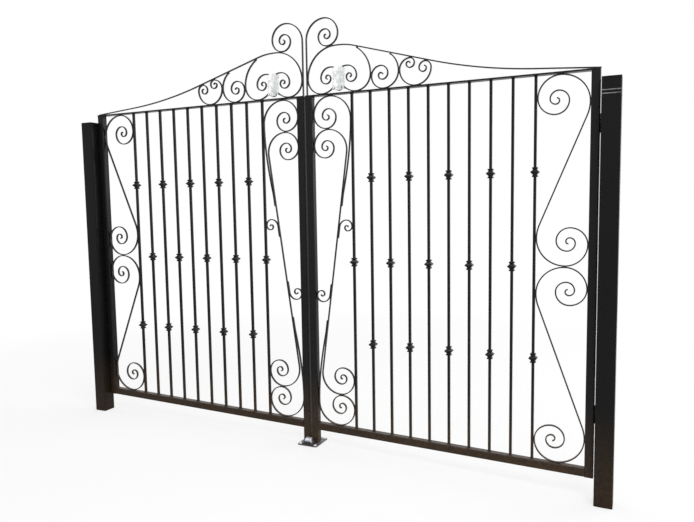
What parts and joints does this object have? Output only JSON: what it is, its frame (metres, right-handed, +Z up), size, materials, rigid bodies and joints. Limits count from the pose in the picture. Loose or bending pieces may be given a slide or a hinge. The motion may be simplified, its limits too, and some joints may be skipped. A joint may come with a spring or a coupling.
{
  "type": "wrought iron driveway gate pair",
  "caption": "Pair of black wrought iron driveway gates with scrolled crowns and collared square bars, hinged to square posts, with a centre stop.",
  "frame": {"origin": "centre of the underside of the right post's foot plate, seen from the drive side", "axes": "+X along the gate from the left post to the right post, +Y away from the viewer to the side that the leaves open to, +Z up"},
  "size_m": [3.177, 0.148, 2.4022],
  "materials": {
    "frame_paint": "satin black paint",
    "scroll_paint": "satin black paint on forged flat bar",
    "casting_paint": "satin black paint on rough castings",
    "post_paint": "satin black paint, dull near the ground",
    "hinge_paint": "satin black paint, worn at the barrels",
    "strap_steel": "weathered grey",
    "stop_steel": "worn dark steel",
    "wrap_cloth": "soft white cloth"
  },
  "bodies": {
    "ground_set": {"right_post": "post_paint", "left_post": "post_paint", "right_post_cap": "post_paint", "left_post_cap": "post_paint", "post_strap": "strap_steel", "right_post_hinges": "hinge_paint", "left_post_hinges": "hinge_paint", "stop_plate": "stop_steel", "stop_block": "stop_steel"},
    "right_leaf": {"right_hinge_stile": "frame_paint", "right_meeting_stile": "frame_paint", "right_bottom_rail": "frame_paint", "right_top_bar": "frame_paint", "right_bars": "frame_paint", "right_knuckles": "casting_paint", "right_leaf_hinges": "hinge_paint", "right_long_scroll": "scroll_paint", "right_branch_scrolls": "scroll_paint", "right_small_curls": "scroll_paint", "right_upper_scroll": "scroll_paint", "right_lower_scroll": "scroll_paint", "right_finial_scroll": "scroll_paint", "right_swan_neck": "scroll_paint", "right_lyre_bar": "scroll_paint", "right_round_scroll": "scroll_paint", "right_twin_scroll": "scroll_paint", "right_crown_wrap": "wrap_cloth"},
    "left_leaf": {"left_hinge_stile": "frame_paint", "left_meeting_stile": "frame_paint", "left_bottom_rail": "frame_paint", "left_top_bar": "frame_paint", "left_bars": "frame_paint", "left_knuckles": "casting_paint", "left_leaf_hinges": "hinge_paint", "left_long_scroll": "scroll_paint", "left_branch_scrolls": "scroll_paint", "left_small_curls": "scroll_paint", "left_upper_scroll": "scroll_paint", "left_lower_scroll": "scroll_paint", "left_finial_scroll": "scroll_paint", "left_swan_neck": "scroll_paint", "left_lyre_bar": "scroll_paint", "left_round_scroll": "scroll_paint", "left_twin_scroll": "scroll_paint", "left_crown_wrap": "wrap_cloth"}
  },
  "joints": [
    {"name": "right_leaf_swing", "type": "hinge", "parent": "ground_set", "child": "right_leaf", "pos_m": [-0.0445, 0.061, 0.406], "axis": [0, 0, -1], "range_deg": [0, 90]},
    {"name": "left_leaf_swing", "type": "hinge", "parent": "ground_set", "child": "left_leaf", "pos_m": [-3.0495, 0.061, 0.406], "axis": [0, 0, 1], "range_deg": [0, 90]}
  ]
}
